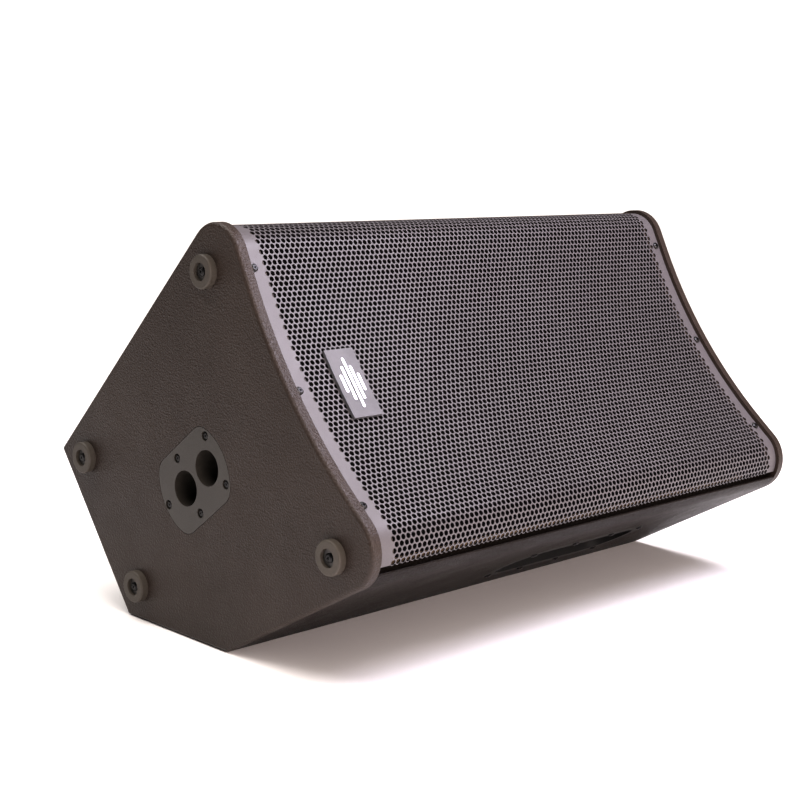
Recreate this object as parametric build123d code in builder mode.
from build123d import *
from math import asin, cos, degrees, radians, sin, tan
import os

os.makedirs("parts", exist_ok=True)

# PA speaker cabinet lying on its monitor face. Millimetres, +Z up, floor at z = 0.
# Section axes: u = depth from the front chord, v = across the front, upper side positive.

# ---- driving dimensions -------------------------------------------------
length = 672.0            # base end to top end
half_front = 201.0        # front chord half width, before the corner rounding
depth = 401.0             # front chord to rear face
side_taper = 8.2          # each side leans in by this, degrees
front_lean = 37.5         # rear axis points this far below horizontal, degrees
monitor_depth = 268.5     # depth where the monitor face starts
front_slope = 11.6        # straight parts of the hollow front, degrees
hollow_half = 122.0       # half width of the curved middle of the front
corner_r = 39.0           # grille and end panel corners
upper_r = 43.5            # corner of the upper side panel, just inside the end panels
edge_r = 4.0              # rounded outer edges
end_t = 12.0              # end panel thickness
wall_t = 15.0             # side, rear and monitor panel thickness
front_edge = 60.0         # depth of the baffle face
panel_front = 34.0        # depth of the side panel front edges, behind the grille sheet
arris_r = 1.0             # rounding of those front edges
lip_t = 1.5               # thickness left in front of the slot for the sheet ends
slot_deep = 12.0
grille_end = 31.0         # depth where the grille sheet stops on the corner curve
baffle_t = 18.0
grille_in = 4.0           # grille face below the end panel rim
grille_t = 1.4
rail_w = 20.0
foam_t = 5.0
foot_r = 17.0
foot_h = 8.0
pole_r = 18.25
pole_straight_u = 181.4
pole_tilted_u = 224.9
pole_tilt = 7.5
pole_depth = 86.0
socket_u = 208.3          # plate round both pole mouths
socket_r = 58.3
socket_flat = 41.5
socket_gap = 0.5
woofer_x = -138.0
woofer_r = 157.0
horn_x = 182.0
port_x = 24.0
port_v = 124.0
port_r = 30.0
brace_x = -52.0
handle_x = 86.0
handle_s = 100.0          # along the lower side from its rear corner
handle_w = 228.0
handle_h = 104.0
input_x = 120.0
input_v = 40.0
gap = 0.1                 # fit clearance between separate pieces

# ---- derived ------------------------------------------------------------
taper = tan(radians(side_taper))
lean = radians(front_lean)
cs, sn = cos(lean), sin(lean)
slope = tan(radians(front_slope))
hollow_r = hollow_half / sin(radians(front_slope))
hollow_u = (half_front - hollow_half) * slope
mid_u = hollow_u + hollow_r * (1 - cos(radians(front_slope)))


def side_v(u):
    return half_front - u * taper


rear_hi = side_v(depth)
mon_v = -side_v(monitor_depth)
rear_lo = mon_v + (depth - monitor_depth) * tan(lean)
z0 = monitor_depth * sn - mon_v * cs
y_rear = depth * cs + rear_hi * sn
# centre of the rounded front corner, inside both straight lines
m_u = corner_r / tan(radians((90 - front_slope - side_taper) / 2))
cor_v = half_front - m_u * sin(radians(side_taper)) - corner_r * cos(radians(side_taper))
cor_u = m_u * cos(radians(side_taper)) - corner_r * sin(radians(side_taper))
y_front = cor_u * cs - cor_v * sn - corner_r
y0 = -(y_rear + y_front) / 2
x_base = -length / 2 + foot_h / 2
x_top = length / 2 + foot_h / 2
in_base = x_base + end_t
in_top = x_top - end_t
wall_v = wall_t / cos(radians(side_taper))


def pt(x, u, v):
    return Vector(x, y0 + u * cs + v * sn, z0 - u * sn + v * cs)


DEEP = Vector(0, cs, -sn)
UP = Vector(0, sn, cs)


def section(x):
    return Plane(origin=pt(x, 0, 0), x_dir=DEEP, z_dir=(1, 0, 0))


def facing_front(x, u, v):
    return Plane(origin=pt(x, u, v), x_dir=(1, 0, 0), z_dir=-DEEP)


def facing_rear(x, u, v):
    return Plane(origin=pt(x, u, v), x_dir=(-1, 0, 0), z_dir=DEEP)


def facing_base(x, u, v):
    return Plane(origin=pt(x, u, v), x_dir=DEEP, z_dir=(-1, 0, 0))


def turning(x, u, v):
    return Plane(origin=pt(x, u, v), x_dir=(1, 0, 0), z_dir=UP)


def deep_axis(x, u, v):
    return Axis(pt(x, u, v), DEEP)


def grille_normal(x, v):
    """Plane standing on the end rim line of the front, z out of the front."""
    a = abs(v)
    if a > hollow_half:
        u = (half_front - a) * slope
        ang = front_slope
    else:
        ang = degrees(asin(a / hollow_r))
        u = hollow_u + hollow_r * (cos(radians(ang)) - cos(radians(front_slope)))
    w = 1 if v > 0 else -1
    nu = -cos(radians(ang))
    nv = -w * sin(radians(ang))
    z = DEEP * nu + UP * nv
    return Plane(origin=pt(x, u, v), x_dir=(1, 0, 0), z_dir=z)


def inset(points, d):
    """Corners of a polygon moved in by d, points going anticlockwise."""
    lines = []
    n = len(points)
    for i in range(n):
        p, q = points[i], points[(i + 1) % n]
        du, dv = q[0] - p[0], q[1] - p[1]
        k = (du * du + dv * dv) ** 0.5
        lines.append((p[0] - dv / k * d, p[1] + du / k * d, du / k, dv / k))
    out = []
    for i in range(n):
        a, b = lines[i - 1], lines[i]
        det = a[2] * b[3] - a[3] * b[2]
        s = ((b[0] - a[0]) * b[3] - (b[1] - a[1]) * b[2]) / det
        out.append((a[0] + a[2] * s, a[1] + a[3] * s))
    return out


# ---- shared section outlines -------------------------------------------
box = [
    (panel_front, -side_v(panel_front)),
    (monitor_depth, mon_v),
    (depth, rear_lo),
    (depth, rear_hi),
    (panel_front, side_v(panel_front)),
]
inner = inset(box, wall_t)


def rim_profile(off, radius=corner_r):
    """Full outline with the hollow front, every edge moved in by off."""
    with BuildSketch() as s:
        with BuildLine():
            Polyline(
                (hollow_u, -hollow_half),
                (0, -half_front),
                (monitor_depth, mon_v),
                (depth, rear_lo),
                (depth, rear_hi),
                (0, half_front),
                (hollow_u, hollow_half),
            )
            ThreePointArc((hollow_u, hollow_half), (mid_u, 0), (hollow_u, -hollow_half))
        make_face()
        front_pts = s.vertices().filter_by_position(Axis.X, -1, 1)
        fillet(front_pts, radius)
        back_pts = s.vertices().filter_by_position(Axis.X, monitor_depth - 1, depth + 1)
        fillet(back_pts, edge_r)
        if off > 0:
            offset(amount=-off, kind=Kind.INTERSECTION, mode=Mode.REPLACE)
    return s.sketch


rim = rim_profile(0)
upper_outline = rim_profile(0, upper_r)
under_grille = rim_profile(grille_in + grille_t + gap)
grille_outer = rim_profile(grille_in)
grille_inner = rim_profile(grille_in + grille_t)
foam_outer = rim_profile(grille_in + grille_t + 0.2)
foam_inner = rim_profile(grille_in + grille_t + 0.2 + foam_t)


def save(piece, name):
    piece.part.label = name
    export_step(piece.part, "parts/" + name + ".step")


# ---- fastener places ----------------------------------------------------
feet = {
    "upper_front": (64.2, 154.3),
    "upper_rear": (362.9, 110.9),
    "lower_rear": (362.9, -44.4),
    "lower_front": (64.2, -154.3),
}
socket_screw_at = [(164.5, 27.2), (164.5, -27.2), (218.6, 31.3), (218.6, -31.3), (260.7, 0.0)]
grille_screw_v = [127.0, 0.0, -127.0]
grille_screw_x = [x_base + 17.0, x_top - 19.0]
handle_screw_at = [(x, s * w) for x, s in ((-93, 37.6), (-31, 45.5), (32, 45.5), (93, 37.6))
                   for w in (-1, 1)]
input_screw_at = [(x, v) for x in (-82, 0, 82) for v in (-52, 52)]
woofer_bolt_r = 149.0
horn_screw_at = [(x, v) for x in (-112, 0, 112) for v in (-100, 100)]


def around(n, r, start=0.0):
    return [(r * cos(radians(start + 360 * i / n)), r * sin(radians(start + 360 * i / n)))
            for i in range(n)]


side_a = radians(side_taper)
side_out = DEEP * sin(side_a) - UP * cos(side_a)


def lower_side(dx, ds, lift=0.0):
    """Plane on the lower side face, ds along it from the handle centre towards the front."""
    s = handle_s + ds
    u = monitor_depth - s * cos(side_a)
    v = mon_v - s * sin(side_a)
    o = pt(handle_x + dx, u, v) + side_out * lift
    return Plane(origin=o, x_dir=(1, 0, 0), z_dir=side_out)


def drill(planes, r, deep):
    for p in planes:
        with BuildSketch(p) as hole:
            Circle(r)
        extrude(hole.sketch, amount=-deep, mode=Mode.SUBTRACT)


def screws(planes, head_r, head_h, shank_r, shank_l, drive_r=1.6):
    for p in planes:
        with BuildSketch(p) as shank:
            Circle(shank_r)
        extrude(shank.sketch, amount=-shank_l)
        with BuildSketch(p) as head:
            Circle(head_r)
        extrude(head.sketch, amount=head_h * 0.55)
        with Locations(p.offset(head_h * 0.775)):
            Cone(head_r, head_r * 0.62, head_h * 0.45)
        with BuildSketch(p.offset(head_h)) as drive:
            Rectangle(drive_r * 2, drive_r * 0.55)
            Rectangle(drive_r * 0.55, drive_r * 2)
        extrude(drive.sketch, amount=-head_h * 0.6, mode=Mode.SUBTRACT)


foot_planes = [facing_base(x_base, u, v) for u, v in feet.values()]
socket_planes = [facing_base(x_base, u, v) for u, v in socket_screw_at]
grille_planes = [grille_normal(x, v).offset(-grille_in + 0.03)
                 for x in grille_screw_x for v in grille_screw_v]
handle_planes = [lower_side(dx, ds) for dx, ds in handle_screw_at]
input_planes = [facing_rear(input_x + dx, depth + 2.0, input_v + dv)
                for dx, dv in input_screw_at]
woofer_planes = [facing_front(woofer_x + dx, front_edge, dv)
                 for dx, dv in around(8, woofer_bolt_r, 22.5)]
horn_planes = [facing_front(horn_x + dx, front_edge, dv) for dx, dv in horn_screw_at]


# ---- end panels ---------------------------------------------------------
def end_panel(x):
    with BuildSketch(section(x)) as face:
        add(rim)
    extrude(face.sketch, amount=end_t)


def socket_outline(grow):
    """Round plate with two flat sides, let into the base end panel."""
    with BuildSketch(facing_base(x_base, socket_u, 0)) as plate:
        Circle(socket_r + grow)
        Rectangle(2 * socket_r + 9, 2 * (socket_flat + grow), mode=Mode.INTERSECT)
        fillet(plate.vertices(), 20)
    return plate.sketch


with BuildPart() as base_end_panel:
    end_panel(x_base)
    fillet(base_end_panel.faces().sort_by(Axis.X)[0].edges(), edge_r)
    extrude(socket_outline(socket_gap), amount=-4.0, mode=Mode.SUBTRACT)
    for u in (pole_straight_u, pole_tilted_u + 1.3):
        with BuildSketch(facing_base(x_base, u, 0)):
            Circle(pole_r + 3.4)
        extrude(amount=-end_t, mode=Mode.SUBTRACT)
    with BuildSketch(facing_base(x_base, 203, 0)):
        Rectangle(44, 36)
    extrude(amount=-end_t, mode=Mode.SUBTRACT)
    drill(foot_planes, 2.3, end_t)
    drill(socket_planes, 2.05, end_t)
save(base_end_panel, "base_end_panel")

with BuildPart() as top_end_panel:
    end_panel(in_top)
    fillet(top_end_panel.faces().sort_by(Axis.X)[-1].edges(), edge_r)
save(top_end_panel, "top_end_panel")


# ---- long panels, mitred at their corners -------------------------------
def long_panel(i, j, outline):
    with BuildSketch(section(in_base)) as cut:
        with BuildLine():
            Polyline(box[i], box[j], inner_ends[j], inner_ends[i], close=True)
        make_face()
        add(outline, mode=Mode.INTERSECT)
    extrude(cut.sketch, amount=in_top - in_base)


inner_ends = list(inner)
inner_ends[0] = (panel_front, -side_v(panel_front) + wall_v)
inner_ends[4] = (panel_front, side_v(panel_front) - wall_v)


def arris_v(radius):
    k = radius / corner_r
    rise = (radius ** 2 - (cor_u * k - panel_front) ** 2) ** 0.5
    return half_front - (half_front - cor_v) * k + rise


def sheet_slot(way, v):
    """Step inside the front edge, where the end of the grille sheet reaches in."""
    with BuildSketch(section(in_base)) as step:
        with Locations((panel_front + slot_deep / 2 - 0.5, way * (v - lip_t - 7.5))):
            Rectangle(slot_deep + 1, 15)
    extrude(step.sketch, amount=in_top - in_base, mode=Mode.SUBTRACT)


with BuildPart() as lower_side_panel:
    long_panel(0, 1, rim)
    front_corner = pt(0, panel_front, -arris_v(corner_r))
    fillet(lower_side_panel.edges().sort_by_distance(front_corner)[0], arris_r)
    sheet_slot(-1, arris_v(corner_r))
    with BuildSketch(lower_side(0, 0)):
        RectangleRounded(handle_w + 2 * gap, handle_h + 2 * gap, 46)
    extrude(amount=-3.0, mode=Mode.SUBTRACT)
    with BuildSketch(lower_side(0, 0)):
        RectangleRounded(handle_w - 16, handle_h - 26, 36)
    extrude(amount=-wall_t - 1, mode=Mode.SUBTRACT)
    drill(handle_planes, 1.55, wall_t - 1)
save(lower_side_panel, "lower_side_panel")

with BuildPart() as monitor_face_panel:
    long_panel(1, 2, rim)
save(monitor_face_panel, "monitor_face_panel")

with BuildPart() as rear_panel:
    long_panel(2, 3, rim)
    with BuildSketch(facing_rear(input_x, depth, input_v)):
        RectangleRounded(150, 92, 6)
    extrude(amount=-wall_t, mode=Mode.SUBTRACT)
    drill(input_planes, 1.55, wall_t - 1)
save(rear_panel, "rear_panel")

with BuildPart() as upper_side_panel:
    long_panel(3, 4, upper_outline)
    front_corner = pt(0, panel_front, arris_v(upper_r))
    fillet(upper_side_panel.edges().sort_by_distance(front_corner)[0], arris_r)
    sheet_slot(1, arris_v(upper_r))
save(upper_side_panel, "upper_side_panel")

# ---- baffle, brace and grille rails -------------------------------------
with BuildPart() as baffle_board:
    with BuildSketch(section(in_base)):
        with BuildLine():
            Polyline(*inner_ends, close=True)
        make_face()
        with Locations((front_edge + baffle_t / 2, 0)):
            Rectangle(baffle_t, 500, mode=Mode.INTERSECT)
    extrude(amount=in_top - in_base)
    with BuildSketch(facing_front(woofer_x, front_edge, 0)):
        Circle(woofer_r + 0.5)
    extrude(amount=-6.0, mode=Mode.SUBTRACT)
    with BuildSketch(facing_front(woofer_x, front_edge, 0)):
        Circle(141.5)
    extrude(amount=-baffle_t, mode=Mode.SUBTRACT)
    with BuildSketch(facing_front(horn_x, front_edge, 0)):
        RectangleRounded(245, 221, 15)
    extrude(amount=-5.0, mode=Mode.SUBTRACT)
    with BuildSketch(facing_front(horn_x, front_edge, 0)):
        RectangleRounded(214, 188, 12)
    extrude(amount=-baffle_t, mode=Mode.SUBTRACT)
    for v in (port_v, -port_v):
        with BuildSketch(facing_front(port_x, front_edge, v)):
            Circle(port_r + 3.0)
        extrude(amount=-baffle_t, mode=Mode.SUBTRACT)
        with BuildSketch(facing_front(port_x, front_edge, v)):
            Circle(port_r + 6.1)
        extrude(amount=-2.5, mode=Mode.SUBTRACT)
    drill(woofer_planes, 2.55, baffle_t)
    drill(horn_planes, 2.05, baffle_t)
save(baffle_board, "baffle_board")

lead_u = 250.0
with BuildPart() as window_brace:
    with BuildSketch(section(brace_x)):
        with BuildLine():
            Polyline(*inner_ends, close=True)
        make_face()
        with Locations((front_edge + baffle_t + 250, 0)):
            Rectangle(500, 500, mode=Mode.INTERSECT)
        window = inset([(front_edge - 25, -side_v(front_edge - 25) + wall_v)] + inner_ends[1:4]
                       + [(front_edge - 25, side_v(front_edge - 25) - wall_v)], 40)
        with BuildLine():
            Polyline(*window, close=True)
        make_face(mode=Mode.SUBTRACT)
    extrude(amount=12)
    with BuildSketch(section(brace_x)):
        with Locations((lead_u, side_v(lead_u) - wall_v - 3.4)):
            Circle(7)
    extrude(amount=12, mode=Mode.SUBTRACT)
save(window_brace, "window_brace")


def grille_rail(x, name):
    with BuildPart() as rail:
        with BuildSketch(section(x)):
            add(under_grille)
            with BuildLine():
                Polyline((-60, -side_v(-60) + wall_v), (front_edge, -side_v(front_edge) + wall_v),
                         (front_edge, side_v(front_edge) - wall_v), (-60, side_v(-60) - wall_v),
                         close=True)
            make_face(mode=Mode.INTERSECT)
        extrude(amount=rail_w)
        drill([p for p in grille_planes if x < p.origin.X < x + rail_w], 1.55, 22)
    save(rail, name)


grille_rail(in_base, "grille_rail_base")
grille_rail(in_top - rail_w, "grille_rail_top")

# ---- grille, foam and badge --------------------------------------------
def keep_front(end):
    """Front of a shell section, stopping at depth end on the two corner curves."""
    with Locations((front_edge / 2 - 50, 0)):
        Rectangle(front_edge + 100, 600, mode=Mode.INTERSECT)
    with Locations((end + 100, 200), (end + 100, -200)):
        Rectangle(200, 200, mode=Mode.SUBTRACT)


with BuildPart() as grille:
    with BuildSketch(section(in_base + 0.5)):
        add(grille_outer)
        add(grille_inner, mode=Mode.SUBTRACT)
        keep_front(grille_end)
    extrude(amount=in_top - in_base - 1.0)
    drill([p.offset(1) for p in grille_planes], 1.8, 4)
save(grille, "grille")

with BuildPart() as grille_foam:
    with BuildSketch(section(in_base + rail_w + 0.2)):
        add(foam_outer)
        add(foam_inner, mode=Mode.SUBTRACT)
        keep_front(grille_end - 4)
    extrude(amount=in_top - in_base - 2 * rail_w - 0.4)
save(grille_foam, "grille_foam")

with BuildPart() as badge_plate:
    with BuildSketch(section(-268.0)):
        with BuildLine():
            cu = mid_u - hollow_r
            ra = hollow_r + grille_in - 3.2
            rb = hollow_r + grille_in
            ha, hb = 37.3 / ra, 37.3 / rb
            ThreePointArc((cu + ra * cos(ha), -ra * sin(ha)), (cu + ra, 0),
                          (cu + ra * cos(ha), ra * sin(ha)))
            Line((cu + ra * cos(ha), ra * sin(ha)), (cu + rb * cos(hb), rb * sin(hb)))
            ThreePointArc((cu + rb * cos(hb), rb * sin(hb)), (cu + rb, 0),
                          (cu + rb * cos(hb), -rb * sin(hb)))
            Line((cu + rb * cos(hb), -rb * sin(hb)), (cu + ra * cos(ha), -ra * sin(ha)))
        make_face()
    extrude(amount=37.0)
save(badge_plate, "badge_plate")

with BuildPart() as grille_screws:
    screws(grille_planes, 4.0, 2.4, 1.5, 20)
save(grille_screws, "grille_screws")

# ---- feet ---------------------------------------------------------------
for where, (u, v) in feet.items():
    with BuildPart() as foot:
        with BuildSketch(facing_base(x_base, u, v)):
            Circle(foot_r)
        extrude(amount=foot_h)
        fillet(foot.faces().sort_by(Axis.X)[0].edges(), 2.0)
        with BuildSketch(facing_base(x_base - foot_h, u, v)):
            Circle(9.0)
        extrude(amount=-5.0, mode=Mode.SUBTRACT)
        with BuildSketch(facing_base(x_base, u, v)):
            Circle(2.6)
        extrude(amount=foot_h, mode=Mode.SUBTRACT)
    save(foot, "foot_" + where)

with BuildPart() as foot_washers:
    for u, v in feet.values():
        with BuildSketch(facing_base(x_base - 3.0, u, v)):
            Circle(8.5)
            Circle(2.6, mode=Mode.SUBTRACT)
        extrude(amount=1.2)
save(foot_washers, "foot_washers")

with BuildPart() as foot_screws:
    screws([p.offset(4.2) for p in foot_planes], 4.6, 2.6, 2.25, 16.0, 2.0)
save(foot_screws, "foot_screws")

# ---- pole socket --------------------------------------------------------
tilt_dir = Vector(1, 0, 0) * cos(radians(pole_tilt)) + DEEP * sin(radians(pole_tilt))


def pole_plane(tilted, back):
    u = pole_tilted_u if tilted else pole_straight_u
    z = tilt_dir * -1 if tilted else Vector(-1, 0, 0)
    side = UP.cross(z)
    return Plane(origin=pt(x_base, u, 0) - z * back, x_dir=side, z_dir=z)


with BuildPart() as pole_socket:
    extrude(socket_outline(0), amount=-4.0)
    for tilted in (False, True):
        with BuildSketch(pole_plane(tilted, 3.0)):
            Circle(pole_r + 2.6)
        extrude(amount=-(pole_depth - 3.0 + 3.0))
    for tilted in (False, True):
        with BuildSketch(pole_plane(tilted, -4.0)):
            Circle(pole_r)
        extrude(amount=-(pole_depth + 4.0), mode=Mode.SUBTRACT)
    drill(socket_planes, 2.4, 5)
    drill(socket_planes, 4.9, 2.4)
save(pole_socket, "pole_socket")

with BuildPart() as pole_socket_screws:
    screws([p.offset(-2.4) for p in socket_planes], 3.8, 1.9, 2.0, 9.0)
save(pole_socket_screws, "pole_socket_screws")

# ---- handle -------------------------------------------------------------
with BuildPart() as handle_dish:
    with BuildSketch(lower_side(0, 0)):
        RectangleRounded(handle_w, handle_h, 46)
    extrude(amount=-3.0)
    with BuildSketch(lower_side(0, 0, -3.0)):
        RectangleRounded(handle_w - 16.6, handle_h - 26.6, 35.7)
    extrude(amount=-52.0)
    with BuildSketch(lower_side(0, 0)):
        RectangleRounded(handle_w - 22.6, handle_h - 32.6, 33)
    extrude(amount=-52.0, mode=Mode.SUBTRACT)
    drill([p.offset(1) for p in handle_planes], 1.8, 6)
save(handle_dish, "handle_dish")

with BuildPart() as handle_grip:
    with BuildSketch(Plane(origin=lower_side(-handle_w / 2, 0, -13).origin, x_dir=side_out,
                           z_dir=(1, 0, 0))):
        Ellipse(8.0, 10.0)
    extrude(amount=handle_w)
    with BuildSketch(lower_side(0, 0)):
        RectangleRounded(handle_w - 22.7, handle_h - 32.7, 33)
    extrude(amount=-52.0, mode=Mode.INTERSECT)
save(handle_grip, "handle_grip")

with BuildPart() as handle_screws:
    screws(handle_planes, 3.6, 2.0, 1.5, 13.0)
save(handle_screws, "handle_screws")

# ---- rear input plate and crossover -------------------------------------
socket_at = [(-34, 14), (34, 14)]
board_back = depth - 46.0
standoff_at = [(x, v) for x in (-66, 66) for v in (-38, 38)]

with BuildPart() as input_plate:
    with BuildSketch(facing_rear(input_x, depth, input_v)):
        RectangleRounded(180, 120, 8)
    extrude(amount=2.0)
    drill([facing_rear(input_x + a, depth + 2, input_v + b) for a, b in socket_at], 12.2, 2)
    drill(input_planes, 1.8, 2)
    drill([facing_rear(input_x + a, depth + 2, input_v + b) for a, b in standoff_at], 1.6, 2)
save(input_plate, "input_plate")

with BuildPart() as input_sockets:
    for a, b in socket_at:
        with BuildSketch(facing_rear(input_x + a, depth + 2.0, input_v + b)):
            RectangleRounded(26, 31, 3)
        extrude(amount=2.5)
        with BuildSketch(facing_rear(input_x + a, depth + 2.0, input_v + b)):
            Circle(12.0)
        extrude(amount=-28)
        with BuildSketch(facing_rear(input_x + a, depth + 4.5, input_v + b)):
            Circle(9.6)
            Circle(6.0, mode=Mode.SUBTRACT)
        extrude(amount=-20, mode=Mode.SUBTRACT)
save(input_sockets, "input_sockets")

with BuildPart() as input_plate_screws:
    screws(input_planes, 3.6, 2.0, 1.5, 14.0)
save(input_plate_screws, "input_plate_screws")

with BuildPart() as board_standoffs:
    for a, b in standoff_at:
        with BuildSketch(facing_rear(input_x + a, depth, input_v + b)):
            Circle(3.0)
        extrude(amount=-46.0)
save(board_standoffs, "board_standoffs")

with BuildPart() as standoff_screws:
    screws([facing_rear(input_x + a, depth + 2.0, input_v + b) for a, b in standoff_at],
           2.8, 1.6, 1.5, 2.0, 1.2)
save(standoff_screws, "standoff_screws")

with BuildPart() as crossover_board:
    with BuildSketch(facing_front(input_x, board_back, input_v)):
        RectangleRounded(142, 86, 3)
    extrude(amount=1.6)
save(crossover_board, "crossover_board")

on_board = board_back - 1.6


def coil(x, v, r_in, r_out, h):
    with BuildPart() as c:
        with BuildSketch(facing_front(input_x + x, on_board, input_v + v)):
            Circle(r_out + 3)
            Circle(r_in, mode=Mode.SUBTRACT)
        extrude(amount=2)
        with BuildSketch(facing_front(input_x + x, on_board - 2, input_v + v)):
            Circle(r_out)
            Circle(r_in, mode=Mode.SUBTRACT)
        extrude(amount=h)
        with BuildSketch(facing_front(input_x + x, on_board - 2 - h, input_v + v)):
            Circle(r_out + 3)
            Circle(r_in, mode=Mode.SUBTRACT)
        extrude(amount=2)
    return c


save(coil(-38, 12, 9, 22, 20), "woofer_coil")
save(coil(14, 20, 6, 13, 14), "horn_coil")

with BuildPart() as crossover_capacitors:
    for v in (-32, -12):
        with BuildSketch(Plane(origin=pt(input_x + 8, on_board - 9.0, input_v + v),
                               x_dir=DEEP, z_dir=(1, 0, 0))):
            Circle(9.0)
        extrude(amount=38)
save(crossover_capacitors, "crossover_capacitors")

with BuildPart() as crossover_resistors:
    for x in (38, 54):
        with BuildSketch(facing_front(input_x + x, on_board, input_v + 20)):
            Rectangle(10, 38)
        extrude(amount=10)
save(crossover_resistors, "crossover_resistors")

with BuildPart() as terminal_block:
    with BuildSketch(facing_front(input_x - 60, on_board, input_v - 27)):
        Rectangle(16, 30)
    extrude(amount=12)
save(terminal_block, "terminal_block")

# ---- ports --------------------------------------------------------------
for name, v in (("port_tube_upper", port_v), ("port_tube_lower", -port_v)):
    with BuildPart() as tube:
        with BuildSketch(facing_front(port_x, front_edge, v)):
            Circle(port_r + 6.0)
            Circle(port_r, mode=Mode.SUBTRACT)
        extrude(amount=-2.5)
        with BuildSketch(facing_front(port_x, front_edge, v)):
            Circle(port_r + 2.9)
            Circle(port_r, mode=Mode.SUBTRACT)
        extrude(amount=-45)
    save(tube, name)

# ---- woofer, every ring turned about its own axis -----------------------
woofer_plane = turning(woofer_x, front_edge, 0)
woofer_axis = deep_axis(woofer_x, front_edge, 0)


def turned(points):
    with BuildSketch(woofer_plane) as ring:
        with BuildLine():
            Polyline(*points, close=True)
        make_face()
    revolve(ring.sketch, axis=woofer_axis)


with BuildPart() as woofer_frame:
    turned([(137, 1), (157, 1), (157, 6), (141, 6), (141, 20), (92, 80), (88, 84),
            (44, 84), (44, 80), (86, 80), (137, 17)])
    for i in range(6):
        a = 60 * i
        with BuildSketch(facing_front(woofer_x, front_edge + 24, 0)):
            with BuildLine():
                pts = [(r * cos(radians(a + b)), r * sin(radians(a + b)))
                       for r, b in ((92, -19), (132, -21), (137, 0), (132, 21), (92, 19))]
                Polyline(*pts, close=True)
            make_face()
        extrude(amount=-54, mode=Mode.SUBTRACT)
    drill([p.offset(-1) for p in woofer_planes], 2.75, 6)
save(woofer_frame, "woofer_frame")

with BuildPart() as woofer_gasket:
    turned([(137.0, 0.0), (144.5, 0.0), (144.5, 1.0), (137.0, 1.0)])
save(woofer_gasket, "woofer_gasket")

with BuildPart() as woofer_bolts:
    screws([p.offset(-1.0) for p in woofer_planes], 4.4, 3.4, 2.5, 24, 1.8)
save(woofer_bolts, "woofer_bolts")

with BuildPart() as woofer_top_plate:
    turned([(28.2, 84), (66, 84), (66, 91), (28.2, 91)])
save(woofer_top_plate, "woofer_top_plate")

with BuildPart() as woofer_magnet:
    turned([(36, 91), (78, 91), (78, 111), (36, 111)])
save(woofer_magnet, "woofer_magnet")

with BuildPart() as woofer_pole_yoke:
    turned([(6, 83), (24.6, 83), (24.6, 111), (74, 111), (74, 118), (6, 118)])
save(woofer_pole_yoke, "woofer_pole_yoke")

with BuildPart() as woofer_cone:
    turned([(120.5, 7.0), (122.0, 8.5), (60, 47), (27.2, 61), (27.2, 59.5), (59, 45)])
save(woofer_cone, "woofer_cone")


def dome(half, rise, tip, thick, way):
    """Section of a thin round cap about the axis, its tip at depth tip."""
    ball = (half * half + rise * rise) / (2 * rise)
    full = asin(half / ball)
    mid = tip + way * ball
    outer = [(ball * sin(k), mid - way * ball * cos(k)) for k in (0, full / 2, full)]
    ball -= thick
    under = [(ball * sin(k), mid - way * ball * cos(k)) for k in (full, full / 2, 0)]
    with BuildSketch() as cap:
        with BuildLine():
            ThreePointArc(*outer)
            Line(outer[2], under[0])
            ThreePointArc(*under)
            Line(under[2], outer[0])
        make_face()
    return cap.sketch


with BuildPart() as dust_cap:
    with BuildSketch(woofer_plane):
        add(dome(47, 20.2, 29, 1.0, 1))
    revolve(axis=woofer_axis)
save(dust_cap, "dust_cap")

with BuildPart() as voice_coil:
    turned([(25.6, 59.5), (27.1, 59.5), (27.1, 97), (25.6, 97)])
save(voice_coil, "voice_coil")

with BuildPart() as surround:
    with BuildSketch(woofer_plane):
        with BuildLine():
            Polyline((120.4, 6.9), (123.0, 6.9))
            ThreePointArc((123.0, 6.9), (130.0, -0.1), (137.0, 6.9))
            Line((137.0, 6.9), (136.9, 8.0))
            Line((136.9, 8.0), (136.0, 8.0))
            ThreePointArc((136.0, 8.0), (130.0, 1.0), (124.0, 8.0))
            Polyline((124.0, 8.0), (122.2, 8.0), (120.4, 6.9))
        make_face()
    revolve(axis=woofer_axis)
save(surround, "surround")

with BuildPart() as spider:
    turned([(27.3, 66), (44, 66), (44, 64), (52, 64), (52, 66), (60, 66), (60, 64), (68, 64),
            (68, 66), (84, 66), (84, 80), (81, 80), (81, 67.2), (67, 67.2), (67, 65.2), (61, 65.2),
            (61, 67.2), (51, 67.2), (51, 65.2), (45, 65.2), (45, 67.2), (27.3, 67.2)])
save(spider, "spider")

# ---- horn and compression driver ---------------------------------------
horn_plane = turning(horn_x, front_edge, 0)
horn_axis = deep_axis(horn_x, front_edge, 0)


def horn_body(grow, first, last, mode):
    with BuildSketch(facing_front(horn_x, front_edge + first, 0)) as mouth:
        RectangleRounded(196 + 2 * grow, 168 + 2 * grow, 10 + grow)
    with BuildSketch(facing_front(horn_x, front_edge + 45, 0)) as waist:
        RectangleRounded(104 + 2 * grow, 92 + 2 * grow, 24 + grow)
    with BuildSketch(facing_front(horn_x, front_edge + last, 0)) as throat:
        Circle(12.7 + grow)
    loft([mouth.sketch, waist.sketch, throat.sketch], mode=mode)


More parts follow.
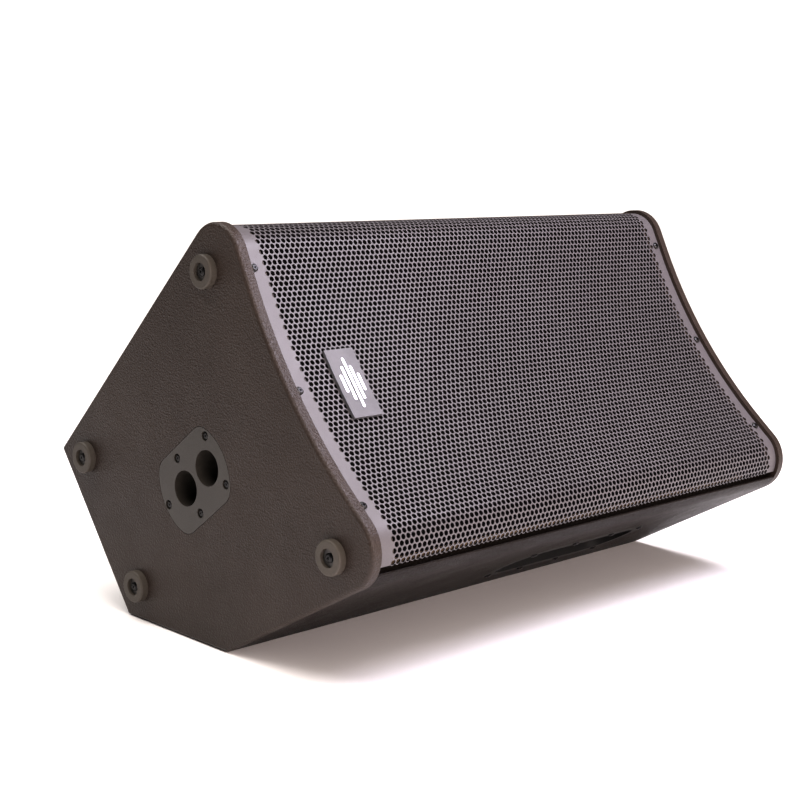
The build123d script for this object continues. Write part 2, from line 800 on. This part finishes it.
bolt_at = around(3, 34, 30)
with BuildPart() as horn_flare:
    horn_body(4, 0, 112, Mode.ADD)
    with BuildSketch(facing_front(horn_x, front_edge, 0)):
        RectangleRounded(244, 220, 15)
        RectangleRounded(190, 160, 10, mode=Mode.SUBTRACT)
    extrude(amount=-5)
    with BuildSketch(facing_front(horn_x, front_edge + 107, 0)):
        Circle(40)
    extrude(amount=-6)
    horn_body(0, -0.5, 114, Mode.SUBTRACT)
    drill(horn_planes, 2.25, 6)
    drill(horn_planes, 4.6, 2.6)
    drill([facing_front(horn_x + a, front_edge + 100, b) for a, b in bolt_at], 2.2, 20)
save(horn_flare, "horn_flare")

with BuildPart() as horn_screws:
    screws([p.offset(-2.6) for p in horn_planes], 4.0, 2.4, 2.0, 20, 1.7)
save(horn_screws, "horn_screws")


def driver_turned(points):
    with BuildSketch(horn_plane) as ring:
        with BuildLine():
            Polyline(*points, close=True)
        make_face()
    revolve(ring.sketch, axis=horn_axis)


with BuildPart() as driver_body:
    driver_turned([(12.7, 113), (40, 113), (40, 119), (45, 122), (45, 150), (30.5, 150),
                   (30.5, 146), (20, 146), (12.7, 120)])
    drill([facing_front(horn_x + a, front_edge + 107, b) for a, b in bolt_at], 2.05, 20)
save(driver_body, "driver_body")

with BuildPart() as driver_rear_cap:
    driver_turned([(0, 172), (42, 172), (45, 168), (45, 150), (31, 150), (31, 165), (0, 165)])
save(driver_rear_cap, "driver_rear_cap")

with BuildPart() as driver_diaphragm:
    with BuildSketch(horn_plane):
        add(dome(24, 9.3, 160.5, 1.0, -1))
    revolve(axis=horn_axis)
save(driver_diaphragm, "driver_diaphragm")

with BuildPart() as driver_bolts:
    for a, b in bolt_at:
        with BuildSketch(facing_front(horn_x + a, front_edge + 107, b)):
            Circle(2.0)
        extrude(amount=-18)
        with BuildSketch(facing_front(horn_x + a, front_edge + 107, b)):
            RegularPolygon(4.0, 6)
        extrude(amount=3)
save(driver_bolts, "driver_bolts")

# ---- damping pads -------------------------------------------------------
with BuildPart() as damping_pad_upper:
    for x, w in ((in_base + 6, brace_x - in_base - 12), (brace_x + 18, in_top - brace_x - 24)):
        with BuildSketch(section(x)):
            with BuildLine():
                a, b = 270.0, 372.0
                Polyline((a, side_v(a) - wall_v), (b, side_v(b) - wall_v),
                         (b, side_v(b) - wall_v - 12), (a, side_v(a) - wall_v - 12), close=True)
            make_face()
        extrude(amount=w)
save(damping_pad_upper, "damping_pads_upper")
